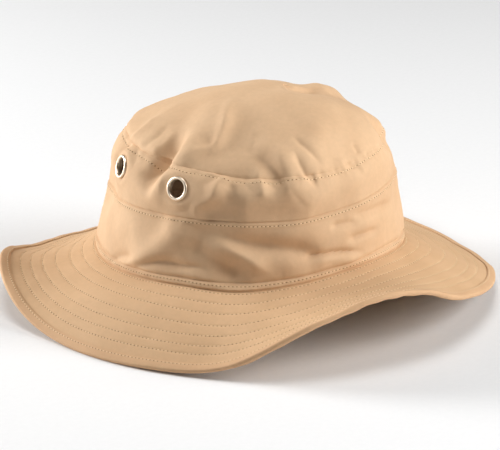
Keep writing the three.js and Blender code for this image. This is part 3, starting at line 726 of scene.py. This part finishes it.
def brim_binding():
    quads, row, column = ring_quads(len(BINDING_POINTS), BRIM_COLUMNS)
    across = lengths_round(np.array(binding_section()))[:-1]
    uv = ring_uvs(lengths_round(BINDING_POINTS[0]), across, row, column)
    return new_object("soft_brim_binding", BINDING_POINTS.reshape(-1, 3), quads[:, ::-1], uv[:, ::-1])


# ---- eyelets

RIM = {"radius": 6.2, "half_width": 1.0, "height": 0.3, "rise": 1.05}
# Radius and height of the corners below the rolled rim.
RIM_TUCK = [(7.12, 0.05), (6.9, -0.1), (5.7, -0.1), (5.6, -0.2)]
WASHER = [(5.6, -1.45), (7.1, -1.5), (7.2, -1.75), (7.1, -2.0), (6.2, -2.35), (5.5, -2.3), (5.25, -1.9)]
BARREL = [(5.2, -1.2), (5.2, -0.4)]


def eyelet_section():
    """Radius and height of the rolled ring: over the rim, under it, round the washer and up the barrel."""
    over = [(RIM["radius"] + RIM["half_width"] * math.cos(t), RIM["height"] + RIM["rise"] * math.sin(t))
            for t in np.radians(np.linspace(180, 0, ROUND_POINTS))]
    return over + RIM_TUCK + WASHER + BARREL


def eyelet(name, centre, way):
    section = np.array(eyelet_section())
    side = unit(np.cross(way, (0.0, 0.0, 1.0)))
    other = np.cross(way, side)
    turn = np.arange(EYELET_SIDES) * 2 * np.pi / EYELET_SIDES
    ring = np.cos(turn)[:, None] * side + np.sin(turn)[:, None] * other
    rings = centre + section[:, :1, None] * ring + section[:, 1:, None] * way
    quads, _, _ = ring_quads(len(rings), EYELET_SIDES)
    return new_object("rolled_" + name, rings.reshape(-1, 3), quads[:, ::-1], sharp=40)


# ---- materials


def linear(hex_colour):
    """An sRGB hex colour as linear red, green, blue and alpha."""
    parts = [int(hex_colour[i:i + 2], 16) / 255 for i in (1, 3, 5)]
    return [c / 12.92 if c <= 0.04045 else ((c + 0.055) / 1.055) ** 2.4 for c in parts] + [1.0]


def add(tree, kind, inputs=None, **settings):
    """Adds a node with its settings. Each input takes a value or a link, from a node's first output."""
    made = tree.nodes.new(kind)
    for key, value in settings.items():
        setattr(made, key, value)
    for key, value in (inputs or {}).items():
        if isinstance(value, bpy.types.Node):
            value = value.outputs[0]
        if isinstance(value, bpy.types.NodeSocket):
            tree.links.new(value, made.inputs[key])
        else:
            made.inputs[key].default_value = value
    return made


def new_material(name):
    """An empty material, its node tree, and the outputs of its texture coordinates."""
    material = bpy.data.materials.new(name)
    material.use_nodes = True
    tree = material.node_tree
    tree.nodes.clear()
    return material, tree, add(tree, "ShaderNodeTexCoord").outputs


# Pattern sizes in millimetres.
CLOTH_YARN = 0.55       # a fine cotton has about 0.4, drawn a little coarser so that it shows up close
TAPE_YARN = 0.7         # the tape's yarn is thicker
SLUB_SIZE = 2.857       # thick places in the yarn
DYE_PATCH_SIZE = 22.22  # where the dye took a little more or less
CRUMPLE_DEPTH = 0.35
YARN_DEPTH = 0.12
FIBRE_SIZE = 0.8        # a real fibre is far finer, and wouldn't show
MARK_SIZE = 1.5         # handling marks on the plating
MOTTLE_SIZE = 3.333     # unevenness of the paper
WAVE_PERIOD = 0.31416   # the wave texture's own period at scale 1


def woven_cotton(name, colour, shade, follows_uv, yarn=CLOTH_YARN):
    """Tightly woven cotton, piece dyed: matt, even in colour, with a dry soft bloom at grazing angles.

    The weave follows the panel's own uv in millimetres, or else lies level in the part's frame.
    """
    material, tree, source = new_material(name)
    place = source["UV" if follows_uv else "Object"]
    per_thread = 1 / yarn if follows_uv else 1 / (yarn * MM)
    threads = add(tree, "ShaderNodeMapping", {"Vector": place, "Scale": (per_thread,) * 3})
    cloth = add(tree, "ShaderNodeMapping", {"Vector": source["Object"], "Scale": (1 / MM,) * 3})
    warp, weft = (add(tree, "ShaderNodeTexWave", {"Vector": threads, "Scale": WAVE_PERIOD},
                      bands_direction=way).outputs["Fac"] for way in "XY")
    over = add(tree, "ShaderNodeTexChecker", {"Vector": threads, "Scale": 1.0}).outputs["Fac"]
    weave = add(tree, "ShaderNodeMix", {"Factor": over, "A": warp, "B": weft})
    slub = add(tree, "ShaderNodeTexNoise", {"Vector": cloth, "Scale": 1 / SLUB_SIZE, "Detail": 3.0})
    patch = add(tree, "ShaderNodeTexNoise", {"Vector": cloth, "Scale": 1 / DYE_PATCH_SIZE, "Detail": 2.0})
    tone = add(tree, "ShaderNodeMapRange", {"Value": patch, "From Min": 0.3, "From Max": 0.7})
    body = add(tree, "ShaderNodeMix", {"Factor": tone, "A": linear(shade), "B": linear(colour)},
               data_type="RGBA").outputs["Result"]
    grain = add(tree, "ShaderNodeMapRange", {"Value": slub, "From Min": 0.25, "From Max": 0.75,
                                             "To Min": 0.96, "To Max": 1.03})
    dyed = add(tree, "ShaderNodeVectorMath", {0: body, 1: grain}, operation="MULTIPLY")
    rough = add(tree, "ShaderNodeMapRange", {"Value": slub, "To Min": 0.74, "To Max": 0.86})
    crumple = add(tree, "ShaderNodeBump", {"Height": slub, "Strength": 0.25, "Distance": CRUMPLE_DEPTH * MM})
    bump = add(tree, "ShaderNodeBump", {"Height": weave, "Strength": 0.2, "Distance": YARN_DEPTH * MM,
                                        "Normal": crumple})
    shader = add(tree, "ShaderNodeBsdfPrincipled", {
        "Base Color": dyed, "Roughness": rough, "Normal": bump, "IOR": 1.5, "Specular IOR Level": 0.3,
        "Sheen Weight": 0.1, "Sheen Roughness": 0.45, "Sheen Tint": linear("#ffe6c8")})
    add(tree, "ShaderNodeOutputMaterial", {"Surface": shader})
    return material


def spun_thread(name, colour):
    """Spun sewing thread, dull with faint fibres: paler than the cloth, or dark to paint the shade in needle
    holes.
    """
    material, tree, source = new_material(name)
    fibre = add(tree, "ShaderNodeTexNoise", {"Vector": source["Object"], "Scale": 1 / (FIBRE_SIZE * MM)})
    tone = add(tree, "ShaderNodeMapRange", {"Value": fibre, "To Min": 0.88, "To Max": 1.1})
    dyed = add(tree, "ShaderNodeVectorMath", {0: linear(colour)[:3], 1: tone}, operation="MULTIPLY")
    shader = add(tree, "ShaderNodeBsdfPrincipled", {
        "Base Color": dyed, "Roughness": 0.7, "IOR": 1.5, "Specular IOR Level": 0.2})
    add(tree, "ShaderNodeOutputMaterial", {"Surface": shader})
    return material


def nickel_plate(name):
    """Nickel plated brass, pressed and tumbled: a pale satin shine, with fine handling marks."""
    material, tree, source = new_material(name)
    marks = add(tree, "ShaderNodeTexNoise", {"Vector": source["Object"], "Scale": 1 / (MARK_SIZE * MM),
                                             "Detail": 4.0})
    rough = add(tree, "ShaderNodeMapRange", {"Value": marks, "To Min": 0.34, "To Max": 0.48})
    tint = add(tree, "ShaderNodeMix", {"Factor": marks, "A": linear("#ead6bc"), "B": linear("#f4e4cf")},
               data_type="RGBA").outputs["Result"]
    shader = add(tree, "ShaderNodeBsdfPrincipled", {"Base Color": tint, "Metallic": 1.0, "Roughness": rough})
    add(tree, "ShaderNodeOutputMaterial", {"Surface": shader})
    return material


def studio_paper(name):
    """Seamless background paper, matt and nearly white."""
    material, tree, source = new_material(name)
    mottle = add(tree, "ShaderNodeTexNoise", {"Vector": source["Object"], "Scale": 1 / (MOTTLE_SIZE * MM)})
    tone = add(tree, "ShaderNodeMix", {"Factor": mottle, "A": linear("#eaeaea"), "B": linear("#efefef")},
               data_type="RGBA").outputs["Result"]
    shader = add(tree, "ShaderNodeBsdfPrincipled", {"Base Color": tone, "Roughness": 0.95})
    add(tree, "ShaderNodeOutputMaterial", {"Surface": shader})
    return material


# ---- stitches


STITCH_SLANT = 0.09     # radians by which a stitch may lie askew, either way
THREAD_RISE = 0.8       # a stitch's height in thread widths
HOLE_SHADE_RISE = 0.25        # height of the dark bead of painted shade in a needle hole, in hole widths
ROW_POINTS = 900
TAPE_ROW_POINTS = 1200


def stitched_rows_tree():
    """Geometry nodes that lay stitches along rows of edges, with dark beads of painted shade between them
    for the needle holes.
    """
    tree = bpy.data.node_groups.new("stitched_rows", "GeometryNodeTree")
    inputs = {"Rows": "Geometry", "Pitch": "Float", "Stitch Length": "Float", "Thread Width": "Float",
              "Hole Width": "Float", "Thread": "Material", "Hole Shade": "Material"}
    for name, kind in inputs.items():
        tree.interface.new_socket(name, in_out="INPUT", socket_type="NodeSocket" + kind)
    tree.interface.new_socket("Stitches", in_out="OUTPUT", socket_type="NodeSocketGeometry")
    group = add(tree, "NodeGroupInput").outputs
    rows = add(tree, "GeometryNodeMeshToCurve", {"Mesh": group["Rows"]})
    points = add(tree, "GeometryNodeResampleCurve", {"Curve": rows, "Length": group["Pitch"]}, mode="LENGTH")

    # each stitch lies along its row and square to the cloth, and a little askew
    cloth_way = add(tree, "GeometryNodeInputNamedAttribute", {"Name": "outward"}, data_type="FLOAT_VECTOR")
    tangent = add(tree, "GeometryNodeInputTangent")
    along = add(tree, "FunctionNodeAlignRotationToVector", {"Vector": tangent}, axis="X")
    square = add(tree, "FunctionNodeAlignRotationToVector", {"Rotation": along, "Vector": cloth_way},
                 axis="Z", pivot_axis="X")
    slant = add(tree, "FunctionNodeRandomValue", {"Min": -STITCH_SLANT, "Max": STITCH_SLANT, "Seed": 3},
                data_type="FLOAT").outputs[1]
    uneven = add(tree, "ShaderNodeCombineXYZ", {"Z": slant})
    askew = add(tree, "FunctionNodeRotateRotation", {"Rotation": square, "Rotate By": uneven},
                rotation_space="LOCAL")

    bead = add(tree, "GeometryNodeMeshUVSphere", {"Segments": 6, "Rings": 4, "Radius": 0.5})
    bead = add(tree, "GeometryNodeSetShadeSmooth", {"Geometry": bead})
    length, width, hole = group["Stitch Length"], group["Thread Width"], group["Hole Width"]
    height = add(tree, "ShaderNodeMath", {0: width, 1: THREAD_RISE}, operation="MULTIPLY")
    size = add(tree, "ShaderNodeCombineXYZ", {"X": length, "Y": width, "Z": height})
    stitches = add(tree, "GeometryNodeInstanceOnPoints", {"Points": points, "Instance": bead,
                                                          "Rotation": askew, "Scale": size})
    # the dark beads between the stitches are painted shade, standing for the shade down in the needle holes
    depth = add(tree, "ShaderNodeMath", {0: hole, 1: HOLE_SHADE_RISE}, operation="MULTIPLY")
    pit = add(tree, "ShaderNodeCombineXYZ", {"X": hole, "Y": hole, "Z": depth})
    hole_shade_beads = add(tree, "GeometryNodeInstanceOnPoints", {"Points": points, "Instance": bead,
                                                      "Rotation": square, "Scale": pit})
    # an instance moves in units of its own size, so half a pitch is counted in hole widths
    half = add(tree, "ShaderNodeMath", {0: group["Pitch"], 1: 0.5}, operation="MULTIPLY")
    widths = add(tree, "ShaderNodeMath", {0: half, 1: hole}, operation="DIVIDE")
    beside = add(tree, "ShaderNodeCombineXYZ", {"X": widths})
    holes = add(tree, "GeometryNodeTranslateInstances", {"Instances": hole_shade_beads, "Translation": beside})

    both = add(tree, "GeometryNodeJoinGeometry")
    for laid, shade in ((stitches, "Thread"), (holes, "Hole Shade")):
        real = add(tree, "GeometryNodeRealizeInstances", {"Geometry": laid})
        shaded = add(tree, "GeometryNodeSetMaterial", {"Geometry": real, "Material": group[shade]})
        tree.links.new(shaded.outputs[0], both.inputs["Geometry"])
    add(tree, "NodeGroupOutput", {"Stitches": both})
    return tree


def stitched(name, rows, tree, settings):
    """Stitches along rows of points with outward directions, made by the tree and turned to plain mesh."""
    mesh = bpy.data.meshes.new(name)
    edges, start = [], 0
    for points, _ in rows:
        edges += [(start + i, start + i + 1) for i in range(len(points) - 1)]
        start += len(points)
    mesh.from_pydata(in_part_frame(np.vstack([points for points, _ in rows])).tolist(), edges, [])
    mesh.materials.append(settings["Thread"])   # so that the tree adds no empty slot
    directions = mesh.attributes.new("outward", "FLOAT_VECTOR", "POINT")
    directions.data.foreach_set("vector", np.vstack([normal for _, normal in rows]).ravel())
    source = placed(name + "_rows", mesh)
    modifier = source.modifiers.new("stitches", "NODES")
    modifier.node_group = tree
    for item in tree.interface.items_tree:
        if item.in_out == "INPUT" and item.name in settings:
            modifier[item.identifier] = settings[item.name]
    bpy.context.view_layer.update()
    graph = bpy.context.evaluated_depsgraph_get()
    made = placed(name, bpy.data.meshes.new_from_object(source.evaluated_get(graph)))
    source.modifiers.remove(modifier)
    bpy.data.objects.remove(source)
    return made


def stitch_row(level, count=ROW_POINTS):
    """A row round the hat at one level, on the face of the cloth, from the back round."""
    return finished_skin(np.linspace(-180, 180, count + 1), level)


def underside_row(level):
    """The same row on the brim's underside."""
    point, normal = stitch_row(level)
    return point - normal * BRIM_WALL, -normal


def tape_row(side):
    """The tape's row on its upper face, where side is 1, or on its under face, where side is -1."""
    point, normal = stitch_row(-BINDING_ROW / BRIM_WIDTH, TAPE_ROW_POINTS)
    middle = -BRIM_WALL / 2
    height = middle + side * (BINDING["wall"] - middle - TAPE_STITCH_DIP[0])
    row = point + normal * uneven_tape(np.full(len(point), height), point)[:, None]
    row[:, 2] = np.maximum(row[:, 2], TAPE_STITCH_CLEAR - FLOOR_BELOW_EDGE)
    return row, normal * side


# ---- the hat

crown_cotton = woven_cotton("woven_cotton_crown", "#d9b58f", "#d3ae88", follows_uv=True)
tip_cotton = woven_cotton("woven_cotton_top", "#d9b58f", "#d3ae88", follows_uv=False)
brim_cotton = woven_cotton("woven_cotton_brim", "#d4ae86", "#cea880", follows_uv=False)
tape_cotton = woven_cotton("cotton_binding_tape", "#d4ac84", "#cba37c", follows_uv=True, yarn=TAPE_YARN)
thread = spun_thread("sewing_thread", "#e8cca4")
hole_shade = spun_thread("needle_hole_shade", "#7a4e2a")   # painted shade: a dark copy of the thread that stands for the shade down in a needle hole
nickel = nickel_plate("nickel_plate")

PIECES = [
    (crown_tip(), tip_cotton, "crown_cloth", "crown_tip"),
    (upper_side_band(), crown_cotton, "crown_cloth", "upper_side_band"),
    (lower_side_band(), crown_cotton, "crown_cloth", "lower_side_band"),
    (brim(), brim_cotton, "brim_cloth", "brim"),
    (brim_binding(), tape_cotton, "binding_tape", "brim_binding"),
]
for name, (centre, way) in EYELET_FRAMES.items():
    PIECES.append((eyelet(name, centre, way), nickel, "eyelet_metal", name))

for piece, material, slot, node in PIECES:
    piece.data.materials.append(material)
    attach(piece, "root")
    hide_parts(node)

SEWING = {"Pitch": STITCH_PITCH * MM, "Stitch Length": STITCH_LENGTH * MM, "Thread Width": THREAD_WIDTH * MM,
          "Hole Width": HOLE_WIDTH * MM, "Thread": thread, "Hole Shade": hole_shade}
crown_levels = [row / LOWER_HEIGHT for row in LOWER_ROWS] + [1 + row / UPPER_HEIGHT for row in UPPER_ROWS]
brim_levels = [-row / BRIM_WIDTH for row in BRIM_ROWS]
STITCHES = [
    ("crown_topstitch", "crown_cloth", [stitch_row(level) for level in crown_levels]),
    ("brim_topstitch", "brim_cloth", [stitch_row(level) for level in brim_levels]),
    ("brim_underside_stitch", "brim_cloth", [underside_row(level) for level in brim_levels]),
    ("binding_topstitch", "binding_tape", [tape_row(1), tape_row(-1)]),
]
tree = stitched_rows_tree()
for name, slot, rows in STITCHES:
    sewn = stitched(name, rows, tree, SEWING)
    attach(sewn, "root")

# ---- floor, light and camera

FLOOR_SIZE = 12.0       # metres
AIR_GLOW = 0.03
HALF_HEIGHT = 65.0
HAT_CENTRE = Vector(in_part_frame(np.array([0, 0, HALF_HEIGHT])).tolist())
# Degrees and millimetres. Azimuth 0 stands in front of the hat, and 90 on the wearer's left.
CAMERA = {"azimuth": -33.54, "elevation": 18.8, "roll": -1.28, "distance": 1743.5, "lens": 208.3,
          "sensor": 36.0, "aim_drop": 25.4}


def paper_floor():
    mesh = bpy.data.meshes.new("paper_floor")
    half = FLOOR_SIZE / 2
    corners = [(-half, -half, 0), (half, -half, 0), (half, half, 0), (-half, half, 0)]
    mesh.from_pydata(corners, [], [(0, 1, 2, 3)])
    mesh.materials.append(studio_paper("studio_paper"))
    placed("paper_floor", mesh)


def way_out(azimuth, elevation):
    a, e = math.radians(azimuth), math.radians(elevation)
    return Vector((math.sin(a) * math.cos(e), -math.cos(a) * math.cos(e), math.sin(e)))


def aim(made, location, target, right=None):
    """Sets an object at a location and turns it to look at a target."""
    back = (location - target).normalized()
    turn = back.to_track_quat("Z", "Y")
    if right is not None:
        turn = Matrix((right, back.cross(right), back)).transposed().to_quaternion()
    made.location = location
    made.rotation_mode = "QUATERNION"
    made.rotation_quaternion = turn


def softbox(name, azimuth, elevation, distance, size, power):
    """A square area light that faces the hat, in metres and watts."""
    light = bpy.data.lights.new(name, "AREA")
    light.shape = "SQUARE"
    light.size = size
    light.energy = power
    aim(placed(name, light), HAT_CENTRE + way_out(azimuth, elevation) * distance, HAT_CENTRE)


def studio_camera():
    back = way_out(CAMERA["azimuth"], CAMERA["elevation"])
    a, r = math.radians(CAMERA["azimuth"]), math.radians(CAMERA["roll"])
    level_right = Vector((math.cos(a), math.sin(a), 0))
    up = back.cross(level_right)
    right = level_right * math.cos(r) + up * math.sin(r)
    rolled_up = up * math.cos(r) - level_right * math.sin(r)
    camera = bpy.data.cameras.new("studio_camera")
    camera.lens = CAMERA["lens"]
    camera.sensor_width = CAMERA["sensor"]
    made = placed("studio_camera", camera)
    aim(made, HAT_CENTRE + back * CAMERA["distance"] * MM,
        HAT_CENTRE - rolled_up * CAMERA["aim_drop"] * MM, right)
    bpy.context.scene.camera = made


def studio_air():
    """A faint even light from all round."""
    world = bpy.data.worlds.new("studio_air")
    world.use_nodes = True
    background = world.node_tree.nodes["Background"]
    background.inputs["Color"].default_value = linear("#ffffff")
    background.inputs["Strength"].default_value = AIR_GLOW
    bpy.context.scene.world = world
    bpy.context.scene.view_settings.view_transform = "Standard"


paper_floor()
softbox("left_softbox", azimuth=-142, elevation=16, distance=1.6, size=0.65, power=31)
softbox("right_softbox", azimuth=42, elevation=23, distance=1.6, size=0.9, power=27)
softbox("top_softbox", azimuth=-40, elevation=85, distance=1.8, size=0.9, power=14.5)
studio_air()
studio_camera()
